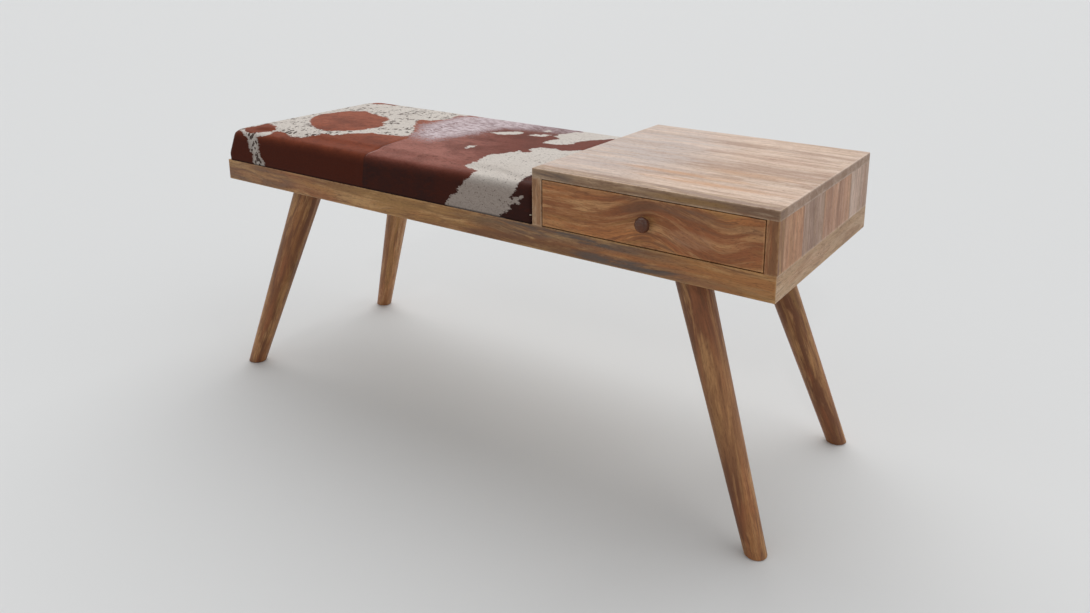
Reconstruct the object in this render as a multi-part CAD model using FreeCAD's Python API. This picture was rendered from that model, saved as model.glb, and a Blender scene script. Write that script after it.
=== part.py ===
import FreeCAD, Part
import math
import os

# Telephone bench: a low wooden frame on four splayed legs, with an upholstered
# seat pad on the left and a box with one drawer on the right.
# Millimetres. X runs left to right, Y front to back, Z up from the floor.

# Overall sizes
LENGTH = 1150.0
DEPTH = 400.0
LEG_DROP = 400.0
BOX_WIDTH = 400.0
BOX_RISE = 91.0

# Base frame
RAIL_HEIGHT = 39.0
RAIL_THICK = 18.0
BASE_THICK = 16.0
BASE_RECESS = 4.0
BATTEN_WIDTH = 36.0
BATTEN_END_GAP = 49.0
BRACE_LEG = 35.0

# Legs, their blocks and their bolts
LEG_TOP_DIAMETER = 55.0
LEG_FOOT_DIAMETER = 33.0
LEG_END_INSET = 159.5
LEG_SIDE_INSET = 68.3
LEG_SPLAY_X = 148.0
LEG_SPLAY_Y = 52.0
BLOCK_LENGTH = 100.0
BLOCK_WIDTH = 96.0
BLOCK_THICK = 18.0
BOLT_DIAMETER = 8.0
BOLT_IN_LEG = 45.0
BOLT_OVER_NUT = 1.5
COUNTERBORE_DIAMETER = 20.0
COUNTERBORE_DEPTH = 12.0
WASHER_DIAMETER = 17.0
WASHER_THICK = 1.6
NUT_ACROSS_FLATS = 13.0
NUT_HEIGHT = 6.5

# Screws and dowels
SCREW_DIAMETER = 4.5
SCREW_HEAD_DIAMETER = 9.0
SCREW_HEAD_HEIGHT = 2.6
SEAT_SCREW_BITE = 9.0
BASE_SCREW_BITE = 12.0
SEAT_SCREW_SPACING = 180.0
BLOCK_SCREW_INSET = 15.0
TOP_DOWEL_DIAMETER = 8.0
TOP_DOWEL_REACH = 9.0
DRAWER_DOWEL_DIAMETER = 6.0
DRAWER_DOWEL_SHORT = 8.0
DRAWER_DOWEL_LONG = 12.0
DRAWER_DOWEL_MARGIN = 12.0

# Seat pad
HIDE_THICK = 1.5
SEAT_BOARD_THICK = 12.0
PAD_EDGE_HEIGHT = 61.0
PAD_CROWN = 7.0
PAD_BULGE = 1.0
PAD_BULGE_LIFT = 13.0
PAD_LEAN = 5.0
PAD_EDGE_ROUND = 12.0
PAD_CORNER_RADIUS = 15.0
PAD_PRESSED_SHARE = 0.4
PAD_CROWN_INSET = 160.0
PAD_ROUND_ANGLES = (30, 60, 85)
PAD_CROWN_SHARES = (0.2, 0.45, 0.7, 1.0)
TURN_IN = 18.0

# Drawer box
PANEL_THICK = 18.0
TOP_THICK = 15.0
BACK_THICK = 12.0
STILE_DEPTH = 19.0
TOP_EDGE_DEPTH = 25.0
STAVE_WIDTHS = (74.0, 86.0, 126.0)
PLANK_WIDTHS = (63.0, 57.0, 87.0, 86.0)

# Drawer
DRAWER_FRONT_THICK = 18.0
DRAWER_SIDE_THICK = 12.0
DRAWER_BOTTOM_THICK = 4.0
DRAWER_GROOVE_DEPTH = 5.0
DRAWER_BOTTOM_LIFT = 6.0
DRAWER_HEADROOM = 5.0
DRAWER_TRAVEL = 280.0
BACK_STOP_THICK = 12.0
BACK_STOP_WIDTH = 30.0
BACK_STOP_HEIGHT = 25.0
OUT_STOP_WIDTH = 50.0
OUT_STOP_THICK = 15.0
OUT_STOP_DROP = 8.0
RUNNER_WIDTH = 20.0

# Knob
KNOB_DIAMETER = 24.0
KNOB_REACH = 19.0
KNOB_FOOT_DIAMETER = 14.0
KNOB_NECK_DIAMETER = 11.0
KNOB_NECK_LENGTH = 6.5
KNOB_RIM_LENGTH = 2.0
KNOB_SCREW_DIAMETER = 4.0
KNOB_SCREW_HEAD = 8.0
KNOB_SCREW_BITE = 12.0

# Clearances and eased edges
DRAWER_GAP = 1.5
SLIDE_GAP = 0.3
SOFT_GAP = 0.3
FIT_GAP = 0.1
HOLE_GAP = 0.4
EASE = 1.5
SMALL_EASE = 1.0

# Levels and faces that the pieces share
LEFT = -LENGTH / 2
RIGHT = LENGTH / 2
FRONT = -DEPTH / 2
BACK = DEPTH / 2
RAIL_TOP = LEG_DROP + RAIL_HEIGHT
BOX_TOP = RAIL_TOP + BOX_RISE
TOP_UNDERSIDE = BOX_TOP - TOP_THICK
BASE_BOTTOM = LEG_DROP + BASE_RECESS
BASE_TOP = BASE_BOTTOM + BASE_THICK
SEAT_BOARD_BOTTOM = RAIL_TOP + HIDE_THICK
SEAT_BOARD_TOP = SEAT_BOARD_BOTTOM + SEAT_BOARD_THICK
PARTITION_LEFT = RIGHT - BOX_WIDTH
PARTITION_RIGHT = PARTITION_LEFT + PANEL_THICK
SIDE_INNER = RIGHT - PANEL_THICK
BOX_MIDDLE = (PARTITION_RIGHT + SIDE_INNER) / 2
BACK_INNER = BACK - BACK_THICK
INNER_LEFT = LEFT + RAIL_THICK
INNER_RIGHT = RIGHT - RAIL_THICK
INNER_FRONT = FRONT + RAIL_THICK
INNER_BACK = BACK - RAIL_THICK
DRAWER_LEFT = PARTITION_RIGHT + DRAWER_GAP
DRAWER_RIGHT = SIDE_INNER - DRAWER_GAP
DRAWER_FRONT_BACK = FRONT + DRAWER_FRONT_THICK
DRAWER_END = BACK_INNER - BACK_STOP_THICK - SLIDE_GAP
DRAWER_BACK_FACE = DRAWER_END - DRAWER_SIDE_THICK
DRAWER_SIDE_BOTTOM = RAIL_TOP + SLIDE_GAP
DRAWER_SIDE_TOP = TOP_UNDERSIDE - DRAWER_HEADROOM
KNOB_CENTRE_Z = (RAIL_TOP + TOP_UNDERSIDE) / 2
UP = FreeCAD.Vector(0, 0, 1)


def block(x0, x1, y0, y1, z0, z1):
    corner = FreeCAD.Vector(x0, y0, z0)
    return Part.makeBox(x1 - x0, y1 - y0, z1 - z0, corner)


def prism(points, z0, z1):
    corners = [FreeCAD.Vector(x, y, z0) for x, y in points]
    outline = Part.makePolygon(corners + corners[:1])
    return Part.Face(outline).extrude(FreeCAD.Vector(0, 0, z1 - z0))


def cut_all(shape, tools):
    for tool in tools:
        shape = shape.cut(tool)
    return shape


def ease(shape, radius, wanted):
    edges = [edge for edge in shape.Edges if wanted(edge.CenterOfMass)]
    return shape.makeFillet(radius, edges)


def near(value, target):
    return abs(value - target) < 1e-6


# Base frame

def frame_blank():
    ring = block(LEFT, RIGHT, FRONT, BACK, LEG_DROP, RAIL_TOP)
    ring = ring.cut(block(INNER_LEFT, INNER_RIGHT, INNER_FRONT, INNER_BACK, LEG_DROP, RAIL_TOP))

    def outside(point):
        on_end = near(abs(point.x), RIGHT)
        on_side = near(abs(point.y), BACK)
        return (on_end and on_side) or ((on_end or on_side) and near(point.z, LEG_DROP))

    return ease(ring, EASE, outside)


def mitred_rails():
    ring = frame_blank()
    outer = [(LEFT, FRONT), (RIGHT, FRONT), (RIGHT, BACK), (LEFT, BACK)]
    inner = [(INNER_LEFT, INNER_FRONT), (INNER_RIGHT, INNER_FRONT),
             (INNER_RIGHT, INNER_BACK), (INNER_LEFT, INNER_BACK)]
    rails = {}
    for index, name in enumerate(("front_rail", "right_end_rail", "back_rail", "left_end_rail")):
        following = (index + 1) % 4
        wedge = [outer[index], outer[following], inner[following], inner[index]]
        rails[name] = ring.common(prism(wedge, LEG_DROP, RAIL_TOP))
    return rails


def batten_centres():
    first = INNER_LEFT + BATTEN_END_GAP + BATTEN_WIDTH / 2
    last = PARTITION_LEFT - TURN_IN - BATTEN_END_GAP - BATTEN_WIDTH / 2
    return {"seat_batten_left": first,
            "seat_batten_middle": (first + last) / 2,
            "seat_batten_right": last}


def seat_screw_places():
    half = SEAT_SCREW_SPACING / 2
    return [(x, y) for x in batten_centres().values() for y in (-half, half)]


def seat_battens():
    battens = {}
    holes = [bore(x, y, BASE_BOTTOM, SEAT_BOARD_BOTTOM) for x, y in seat_screw_places()]
    for name, centre in batten_centres().items():
        batten = block(centre - BATTEN_WIDTH / 2, centre + BATTEN_WIDTH / 2,
                       INNER_FRONT, INNER_BACK, BASE_TOP, SEAT_BOARD_BOTTOM)
        battens[name] = cut_all(batten, holes)
    return battens


def partition_bearer():
    return block(PARTITION_LEFT - TURN_IN, PARTITION_RIGHT, INNER_FRONT, INNER_BACK, BASE_TOP, RAIL_TOP)


def base_board():
    board = block(INNER_LEFT, INNER_RIGHT, INNER_FRONT, INNER_BACK, BASE_BOTTOM, BASE_TOP)
    holes = [leg_bolt_hole(*signs) for signs in LEG_SIGNS.values()]
    for x, y in seat_screw_places() + block_screw_places():
        holes.append(bore(x, y, BASE_BOTTOM, BASE_TOP))
        holes.append(countersink(x, y, HOLE_GAP / 2))
    return cut_all(board, holes)


def corner_braces():
    braces = []
    for sx in (-1, 1):
        for sy in (-1, 1):
            x = sx * INNER_RIGHT
            y = sy * INNER_BACK
            corners = [(x, y), (x - sx * BRACE_LEG, y), (x, y - sy * BRACE_LEG)]
            braces.append(prism(corners, BASE_TOP, BASE_TOP + BLOCK_THICK))
    return braces


# Screws

def bore(x, y, z0, z1):
    radius = (SCREW_DIAMETER + HOLE_GAP) / 2
    return Part.makeCylinder(radius, z1 - z0, FreeCAD.Vector(x, y, z0), UP)


def countersink(x, y, gap):
    wide = SCREW_HEAD_DIAMETER / 2 + gap
    narrow = SCREW_DIAMETER / 2 + gap
    return Part.makeCone(wide, narrow, SCREW_HEAD_HEIGHT, FreeCAD.Vector(x, y, BASE_BOTTOM), UP)


def base_side_screw(x, y, tip):
    shank = Part.makeCylinder(SCREW_DIAMETER / 2, tip - BASE_BOTTOM, FreeCAD.Vector(x, y, BASE_BOTTOM), UP)
    return shank.fuse(countersink(x, y, 0.0)).removeSplitter()


def seat_screws():
    return [base_side_screw(x, y, SEAT_BOARD_BOTTOM + SEAT_SCREW_BITE) for x, y in seat_screw_places()]


def block_screw_places():
    places = []
    for sx, sy in LEG_SIGNS.values():
        x0, x1, y0, y1 = leg_block_span(sx, sy)
        inner_y = y0 if sy > 0 else y1
        y = inner_y + sy * BLOCK_SCREW_INSET
        places.append((x0 + BLOCK_SCREW_INSET, y))
        places.append((x1 - BLOCK_SCREW_INSET, y))
    return places


def base_screws():
    return [base_side_screw(x, y, BASE_TOP + BASE_SCREW_BITE) for x, y in block_screw_places()]


# Legs

LEG_SIGNS = {"front_left": (-1, -1), "front_right": (1, -1), "back_left": (-1, 1), "back_right": (1, 1)}


def leg_axis(sx, sy):
    top = FreeCAD.Vector(sx * (RIGHT - LEG_END_INSET), sy * (BACK - LEG_SIDE_INSET), LEG_DROP)
    foot = top + FreeCAD.Vector(sx * LEG_SPLAY_X, sy * LEG_SPLAY_Y, -LEG_DROP)
    return top, foot


def leg_direction(sx, sy):
    top, foot = leg_axis(sx, sy)
    return (top - foot).normalize()


def leg_seat_point(sx, sy):
    top, _ = leg_axis(sx, sy)
    along = leg_direction(sx, sy)
    return top + along * (BASE_RECESS / along.z)


def leg(sx, sy):
    top, foot = leg_axis(sx, sy)
    along = leg_direction(sx, sy)
    length = (top - foot).Length
    growth = (LEG_TOP_DIAMETER - LEG_FOOT_DIAMETER) / 2 / length
    spare = LEG_TOP_DIAMETER
    low = LEG_FOOT_DIAMETER / 2 - growth * spare
    high = LEG_TOP_DIAMETER / 2 + growth * spare
    cone = Part.makeCone(low, high, length + 2 * spare, foot - along * spare, along)
    slab = block(2 * LEFT, 2 * RIGHT, 2 * FRONT, 2 * BACK, 0.0, BASE_BOTTOM)
    body = cone.common(slab)
    body = body.cut(leg_bolt_hole(sx, sy))
    rim = [edge for edge in body.Edges if edge.BoundBox.ZMax < EASE]
    return body.makeChamfer(EASE, rim)


def along_leg(sx, sy, radius, start, end):
    along = leg_direction(sx, sy)
    return Part.makeCylinder(radius, end - start, leg_seat_point(sx, sy) + along * start, along)


def washer_seat(sx, sy):
    through = (BASE_THICK + BLOCK_THICK) / leg_direction(sx, sy).z
    return through - COUNTERBORE_DEPTH


def leg_bolt_hole(sx, sy):
    radius = (BOLT_DIAMETER + HOLE_GAP) / 2
    end = washer_seat(sx, sy) + COUNTERBORE_DIAMETER
    return along_leg(sx, sy, radius, -BOLT_IN_LEG - HOLE_GAP, end)


def leg_block_span(sx, sy):
    centre = leg_seat_point(sx, sy)
    y_outer = sy * INNER_BACK
    y_inner = y_outer - sy * BLOCK_WIDTH
    half = BLOCK_LENGTH / 2
    return centre.x - half, centre.x + half, min(y_outer, y_inner), max(y_outer, y_inner)


def leg_block(sx, sy):
    x0, x1, y0, y1 = leg_block_span(sx, sy)
    body = block(x0, x1, y0, y1, BASE_TOP, BASE_TOP + BLOCK_THICK)
    seat = washer_seat(sx, sy)
    pocket = along_leg(sx, sy, COUNTERBORE_DIAMETER / 2, seat, seat + 2 * COUNTERBORE_DIAMETER)
    tools = [leg_bolt_hole(sx, sy), pocket]
    tools += [bore(x, y, BASE_TOP, BASE_TOP + BASE_SCREW_BITE + HOLE_GAP) for x, y in block_screw_places()]
    return cut_all(body, tools)


def leg_bolt(sx, sy):
    end = washer_seat(sx, sy) + WASHER_THICK + NUT_HEIGHT + BOLT_OVER_NUT
    return along_leg(sx, sy, BOLT_DIAMETER / 2, -BOLT_IN_LEG, end)


def leg_washer(sx, sy):
    seat = washer_seat(sx, sy)
    disc = along_leg(sx, sy, WASHER_DIAMETER / 2, seat, seat + WASHER_THICK)
    return disc.cut(leg_bolt_hole(sx, sy))


def leg_nut(sx, sy):
    radius = NUT_ACROSS_FLATS / 2 / math.cos(math.radians(30))
    turns = [math.radians(60 * step) for step in range(6)]
    corners = [FreeCAD.Vector(radius * math.cos(turn), radius * math.sin(turn), 0) for turn in turns]
    hexagon = Part.Face(Part.makePolygon(corners + corners[:1])).extrude(UP * NUT_HEIGHT)
    start = washer_seat(sx, sy) + WASHER_THICK
    along = leg_direction(sx, sy)
    place = FreeCAD.Placement(leg_seat_point(sx, sy) + along * start, FreeCAD.Rotation(UP, along))
    hexagon.Placement = place
    thread = along_leg(sx, sy, BOLT_DIAMETER / 2 + FIT_GAP, start - NUT_HEIGHT, start + 2 * NUT_HEIGHT)
    return hexagon.cut(thread)


# Seat pad

def pad_section(inset, radius, z, skin):
    # skin moves the outline inwards, for what lies under the hide. The right end is pressed
    # against the box, so it draws in less than the others and its corners are tighter.
    x0 = LEFT + inset + skin
    x1 = PARTITION_LEFT - SOFT_GAP - PAD_BULGE - inset * PAD_PRESSED_SHARE - skin
    y0 = FRONT + inset + skin
    y1 = BACK - inset - skin
    left = radius - skin
    right = radius * PAD_PRESSED_SHARE - skin
    corners = [(x0, y0, 1, 1, left), (x1, y0, -1, 1, right), (x1, y1, -1, -1, right), (x0, y1, 1, -1, left)]

    def point(x, y):
        return FreeCAD.Vector(x, y, z)

    arcs = []
    for number, (x, y, sx, sy, bend) in enumerate(corners):
        sag = bend * (1 - math.sqrt(0.5))
        on_side = point(x, y + sy * bend)
        on_length = point(x + sx * bend, y)
        middle = point(x + sx * sag, y + sy * sag)
        arcs.append((on_side, middle, on_length) if number % 2 == 0 else (on_length, middle, on_side))
    edges = []
    for arc, following in zip(arcs, arcs[1:] + arcs[:1]):
        edges.append(Part.Arc(*arc).toShape())
        edges.append(Part.makeLine(arc[-1], following[0]))
    return Part.Wire(edges)


def pad_profile():
    # Inset, corner radius and height of each level, from the rails up to the crown: the sides
    # swell a little near the foot, lean in, round over and rise to the crown.
    edge_top = RAIL_TOP + PAD_EDGE_HEIGHT
    side_end = edge_top - PAD_EDGE_ROUND
    levels = [(0.0, RAIL_TOP), (-PAD_BULGE, RAIL_TOP + PAD_BULGE_LIFT), (PAD_LEAN, side_end)]
    for degrees in PAD_ROUND_ANGLES:
        turn = math.radians(degrees)
        inset = PAD_LEAN + PAD_EDGE_ROUND * (1 - math.cos(turn))
        levels.append((inset, side_end + PAD_EDGE_ROUND * math.sin(turn)))
    rounded = PAD_LEAN + PAD_EDGE_ROUND
    for share in PAD_CROWN_SHARES:
        inset = rounded + share * (PAD_CROWN_INSET - rounded)
        levels.append((inset, edge_top + PAD_CROWN * math.sin(share * math.pi / 2)))
    return [(inset, PAD_CORNER_RADIUS + min(max(inset, 0.0), rounded), z) for inset, z in levels]


def pad_form(skin):
    levels = pad_profile()
    sections = [pad_section(*levels[0], skin)]
    sections += [pad_section(inset, radius, z - skin, skin) for inset, radius, z in levels[1:]]
    return Part.makeLoft(sections, True, True)


def seat_hide():
    cavity = pad_form(HIDE_THICK)
    floor = block(2 * LEFT, 2 * RIGHT, 2 * FRONT, 2 * BACK, RAIL_TOP, SEAT_BOARD_BOTTOM)
    inner_end = PARTITION_LEFT - TURN_IN
    opening = block(INNER_LEFT, inner_end, INNER_FRONT, INNER_BACK, RAIL_TOP, SEAT_BOARD_BOTTOM)
    return pad_form(0.0).cut(cavity.cut(floor)).cut(opening)


def seat_foam():
    above = block(2 * LEFT, 2 * RIGHT, 2 * FRONT, 2 * BACK, SEAT_BOARD_TOP, BOX_TOP + PAD_EDGE_HEIGHT)
    return pad_form(HIDE_THICK + SOFT_GAP).common(above)


def seat_board():
    skin = HIDE_THICK + SOFT_GAP + PAD_BULGE / 2
    outline = pad_section(0.0, PAD_CORNER_RADIUS, SEAT_BOARD_BOTTOM, skin)
    board = Part.Face(outline).extrude(UP * SEAT_BOARD_THICK)
    pilot = SEAT_BOARD_BOTTOM + SEAT_SCREW_BITE + HOLE_GAP
    return cut_all(board, [bore(x, y, SEAT_BOARD_BOTTOM, pilot) for x, y in seat_screw_places()])


# Drawer box

def stave_joints():
    joints = [FRONT + STILE_DEPTH]
    for width in STAVE_WIDTHS:
        joints.append(joints[-1] + width)
    return joints + [BACK]


def plank_joints():
    joints = [FRONT + TOP_EDGE_DEPTH]
    for width in PLANK_WIDTHS:
        joints.append(joints[-1] + width)
    return joints + [BACK]


def top_dowel_places():
    joints = stave_joints()
    centres = [(low + high) / 2 for low, high in zip(joints, joints[1:])]
    lines = (PARTITION_LEFT + PANEL_THICK / 2, RIGHT - PANEL_THICK / 2)
    return [(x, y) for x in lines for y in centres]


def top_dowel(x, y, gap):
    low = FreeCAD.Vector(x, y, TOP_UNDERSIDE - TOP_DOWEL_REACH - gap)
    return Part.makeCylinder(TOP_DOWEL_DIAMETER / 2 + gap, 2 * (TOP_DOWEL_REACH + gap), low, UP)


def top_dowels():
    return [top_dowel(x, y, 0.0) for x, y in top_dowel_places()]


def top_dowel_holes():
    return [top_dowel(x, y, FIT_GAP) for x, y in top_dowel_places()]


def left_stile():
    stile = block(PARTITION_LEFT, PARTITION_RIGHT, FRONT, FRONT + STILE_DEPTH, RAIL_TOP, TOP_UNDERSIDE)
    return ease(stile, SMALL_EASE, lambda p: near(p.x, PARTITION_LEFT) and near(p.y, FRONT))


def right_stile():
    stile = block(SIDE_INNER, RIGHT, FRONT, FRONT + STILE_DEPTH, RAIL_TOP, TOP_UNDERSIDE)
    return ease(stile, EASE, lambda p: near(p.x, RIGHT) and near(p.y, FRONT))


def partition_panel():
    panel = block(PARTITION_LEFT, PARTITION_RIGHT, FRONT + STILE_DEPTH, BACK, RAIL_TOP, TOP_UNDERSIDE)
    return cut_all(panel, top_dowel_holes())


def side_staves():
    panel = block(SIDE_INNER, RIGHT, FRONT + STILE_DEPTH, BACK, RAIL_TOP, TOP_UNDERSIDE)
    panel = ease(panel, EASE, lambda p: near(p.x, RIGHT) and near(p.y, BACK))
    panel = cut_all(panel, top_dowel_holes())
    joints = stave_joints()
    staves = {}
    for number, (low, high) in enumerate(zip(joints, joints[1:]), start=1):
        slice_block = block(SIDE_INNER, RIGHT, low, high, RAIL_TOP, TOP_UNDERSIDE)
        staves[f"side_stave_{number}"] = panel.common(slice_block)
    return staves


def box_back():
    return block(PARTITION_RIGHT, SIDE_INNER, BACK_INNER, BACK, RAIL_TOP, TOP_UNDERSIDE)


def top_planks():
    slab = block(PARTITION_LEFT, RIGHT, FRONT, BACK, TOP_UNDERSIDE, BOX_TOP)

    def outside(point):
        upright = near(point.z, (TOP_UNDERSIDE + BOX_TOP) / 2)
        return upright or near(point.z, BOX_TOP)

    slab = cut_all(ease(slab, EASE, outside), top_dowel_holes())
    joints = [FRONT] + plank_joints()
    planks = {}
    for number, (low, high) in enumerate(zip(joints, joints[1:])):
        name = f"top_plank_{number}" if number else "top_front_edge"
        planks[name] = slab.common(block(PARTITION_LEFT, RIGHT, low, high, TOP_UNDERSIDE, BOX_TOP))
    return planks


def drawer_runner(x0):
    reach = INNER_BACK - BRACE_LEG - DRAWER_GAP
    return block(x0, x0 + RUNNER_WIDTH, -reach, reach, BASE_TOP, RAIL_TOP)


def drawer_back_stops():
    low = RAIL_TOP + DRAWER_BOTTOM_LIFT
    high = low + BACK_STOP_HEIGHT
    front = DRAWER_END + SLIDE_GAP
    places = (PARTITION_RIGHT + RUNNER_WIDTH, SIDE_INNER - RUNNER_WIDTH - BACK_STOP_WIDTH)
    return [block(x, x + BACK_STOP_WIDTH, front, BACK_INNER, low, high) for x in places]


def drawer_out_stop():
    back = DRAWER_BACK_FACE - DRAWER_TRAVEL - SLIDE_GAP
    half = OUT_STOP_WIDTH / 2
    return block(BOX_MIDDLE - half, BOX_MIDDLE + half, back - OUT_STOP_THICK, back,
                 TOP_UNDERSIDE - OUT_STOP_DROP, TOP_UNDERSIDE)


# Drawer

def drawer_bottom_span(gap):
    reach = DRAWER_GROOVE_DEPTH - FIT_GAP + gap
    low = DRAWER_SIDE_BOTTOM + DRAWER_BOTTOM_LIFT - gap
    return block(DRAWER_LEFT + DRAWER_SIDE_THICK - reach, DRAWER_RIGHT - DRAWER_SIDE_THICK + reach,
                 DRAWER_FRONT_BACK - reach, DRAWER_BACK_FACE + reach,
                 low, low + DRAWER_BOTTOM_THICK + 2 * gap)


def drawer_dowel_places():
    # Start point, direction and length of each dowel that joins the drawer's boards.
    rows = [DRAWER_SIDE_TOP - DRAWER_DOWEL_MARGIN,
            DRAWER_SIDE_BOTTOM + DRAWER_BOTTOM_LIFT + DRAWER_BOTTOM_THICK + DRAWER_DOWEL_MARGIN]
    half = DRAWER_SIDE_THICK / 2
    sides = ((DRAWER_LEFT, 1), (DRAWER_RIGHT, -1))
    places = []
    for z in rows:
        for x, inward in sides:
            start = FreeCAD.Vector(x + inward * half, DRAWER_FRONT_BACK - DRAWER_DOWEL_LONG, z)
            places.append((start, FreeCAD.Vector(0, 1, 0), 2 * DRAWER_DOWEL_LONG))
            face = x + inward * DRAWER_SIDE_THICK
            start = FreeCAD.Vector(face - inward * DRAWER_DOWEL_SHORT, DRAWER_BACK_FACE + half, z)
            places.append((start, FreeCAD.Vector(inward, 0, 0), DRAWER_DOWEL_SHORT + DRAWER_DOWEL_LONG))
    return places


def drawer_dowels():
    radius = DRAWER_DOWEL_DIAMETER / 2
    return [Part.makeCylinder(radius, length, start, way) for start, way, length in drawer_dowel_places()]


def drawer_dowel_holes():
    radius = DRAWER_DOWEL_DIAMETER / 2 + FIT_GAP
    return [Part.makeCylinder(radius, length + 2 * FIT_GAP, start - way * FIT_GAP, way)
            for start, way, length in drawer_dowel_places()]


def drawer_joinery():
    return drawer_dowel_holes() + [drawer_bottom_span(FIT_GAP)]


def drawer_front():
    low = RAIL_TOP + DRAWER_GAP
    high = TOP_UNDERSIDE - DRAWER_GAP
    board = block(DRAWER_LEFT, DRAWER_RIGHT, FRONT, DRAWER_FRONT_BACK, low, high)
    board = ease(board, SMALL_EASE, lambda p: near(p.y, FRONT))
    hole = knob_axis_cylinder(KNOB_SCREW_DIAMETER / 2 + FIT_GAP, 0.0, -DRAWER_FRONT_THICK)
    return cut_all(board, drawer_joinery() + [hole])


def drawer_side(x0):
    x1 = x0 + DRAWER_SIDE_THICK
    side = block(x0, x1, DRAWER_FRONT_BACK, DRAWER_END, DRAWER_SIDE_BOTTOM, DRAWER_SIDE_TOP)
    middle = (DRAWER_FRONT_BACK + DRAWER_END) / 2
    side = ease(side, SMALL_EASE, lambda p: near(p.z, DRAWER_SIDE_TOP) and near(p.y, middle))
    return cut_all(side, drawer_joinery())


def drawer_back():
    board = block(DRAWER_LEFT + DRAWER_SIDE_THICK, DRAWER_RIGHT - DRAWER_SIDE_THICK,
                  DRAWER_BACK_FACE, DRAWER_END, DRAWER_SIDE_BOTTOM, DRAWER_SIDE_TOP)
    return cut_all(board, drawer_joinery())


# Knob

def knob_axis_cylinder(radius, start, end):
    # Reaches from start to end in front of the drawer's face; negative values lie behind it.
    near_end = max(start, end)
    base = FreeCAD.Vector(BOX_MIDDLE, FRONT - near_end, KNOB_CENTRE_Z)
    return Part.makeCylinder(radius, abs(end - start), base, FreeCAD.Vector(0, 1, 0))


def drawer_knob():
    foot = KNOB_FOOT_DIAMETER / 2
    neck = KNOB_NECK_DIAMETER / 2
    head = KNOB_DIAMETER / 2
    rim_start = KNOB_NECK_LENGTH + KNOB_RIM_LENGTH

    def point(radius, out):
        return FreeCAD.Vector(radius, 0, out)

    rise = KNOB_REACH - rim_start
    dome = (rise ** 2 + head ** 2) / (2 * rise)
    half_turn = math.atan2(head, dome - rise) / 2
    edges = [
        Part.makeLine(point(0, 0), point(foot, 0)),
        Part.Arc(point(foot, 0), point(neck, KNOB_NECK_LENGTH / 2),
                 point((neck + head) / 2, KNOB_NECK_LENGTH)).toShape(),
        Part.makeLine(point((neck + head) / 2, KNOB_NECK_LENGTH), point(head, rim_start)),
        Part.Arc(point(head, rim_start),
                 point(dome * math.sin(half_turn), KNOB_REACH - dome + dome * math.cos(half_turn)),
                 point(0, KNOB_REACH)).toShape(),
        Part.makeLine(point(0, KNOB_REACH), point(0, 0)),
    ]
    turned = Part.Face(Part.Wire(edges)).revolve(FreeCAD.Vector(0, 0, 0), UP, 360)
    turned.Placement = FreeCAD.Placement(FreeCAD.Vector(BOX_MIDDLE, FRONT, KNOB_CENTRE_Z),
                                         FreeCAD.Rotation(UP, FreeCAD.Vector(0, -1, 0)))
    return turned.cut(knob_axis_cylinder(KNOB_SCREW_DIAMETER / 2 + FIT_GAP, 0.0, KNOB_SCREW_BITE + FIT_GAP))


def knob_screw():
    shank = knob_axis_cylinder(KNOB_SCREW_DIAMETER / 2, KNOB_SCREW_BITE, -DRAWER_FRONT_THICK)
    seat = -DRAWER_FRONT_THICK
    head = knob_axis_cylinder(KNOB_SCREW_HEAD / 2, seat, seat - SCREW_HEAD_HEIGHT)
    return shank.fuse(head).removeSplitter()


# Assembly

def make_nodes():
    nodes = {}
    nodes.update(mitred_rails())
    nodes["base_board"] = base_board()
    nodes["partition_bearer"] = partition_bearer()
    nodes.update(seat_battens())
    nodes["corner_braces"] = corner_braces()
    for corner, signs in LEG_SIGNS.items():
        nodes[f"leg_block_{corner}"] = leg_block(*signs)
        nodes[f"leg_{corner}"] = leg(*signs)
    nodes["leg_bolts"] = [leg_bolt(*signs) for signs in LEG_SIGNS.values()]
    nodes["leg_washers"] = [leg_washer(*signs) for signs in LEG_SIGNS.values()]
    nodes["leg_nuts"] = [leg_nut(*signs) for signs in LEG_SIGNS.values()]
    nodes["base_screws"] = base_screws()
    nodes["seat_screws"] = seat_screws()
    nodes["seat_board"] = seat_board()
    nodes["seat_foam"] = seat_foam()
    nodes["seat_hide"] = seat_hide()
    nodes["left_stile"] = left_stile()
    nodes["right_stile"] = right_stile()
    nodes["partition_panel"] = partition_panel()
    nodes.update(side_staves())
    nodes["box_back"] = box_back()
    nodes.update(top_planks())
    nodes["top_dowels"] = top_dowels()
    nodes["drawer_runner_left"] = drawer_runner(PARTITION_RIGHT)
    nodes["drawer_runner_right"] = drawer_runner(SIDE_INNER - RUNNER_WIDTH)
    nodes["drawer_back_stops"] = drawer_back_stops()
    nodes["drawer_out_stop"] = drawer_out_stop()
    nodes["drawer_front"] = drawer_front()
    nodes["drawer_side_left"] = drawer_side(DRAWER_LEFT)
    nodes["drawer_side_right"] = drawer_side(DRAWER_RIGHT - DRAWER_SIDE_THICK)
    nodes["drawer_back"] = drawer_back()
    nodes["drawer_bottom"] = drawer_bottom_span(0.0)
    nodes["drawer_dowels"] = drawer_dowels()
    nodes["drawer_knob"] = drawer_knob()
    nodes["knob_screw"] = knob_screw()
    return nodes


def as_solids(shape):
    pieces = shape if isinstance(shape, list) else [shape]
    return [solid for piece in pieces for solid in piece.Solids]


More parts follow.
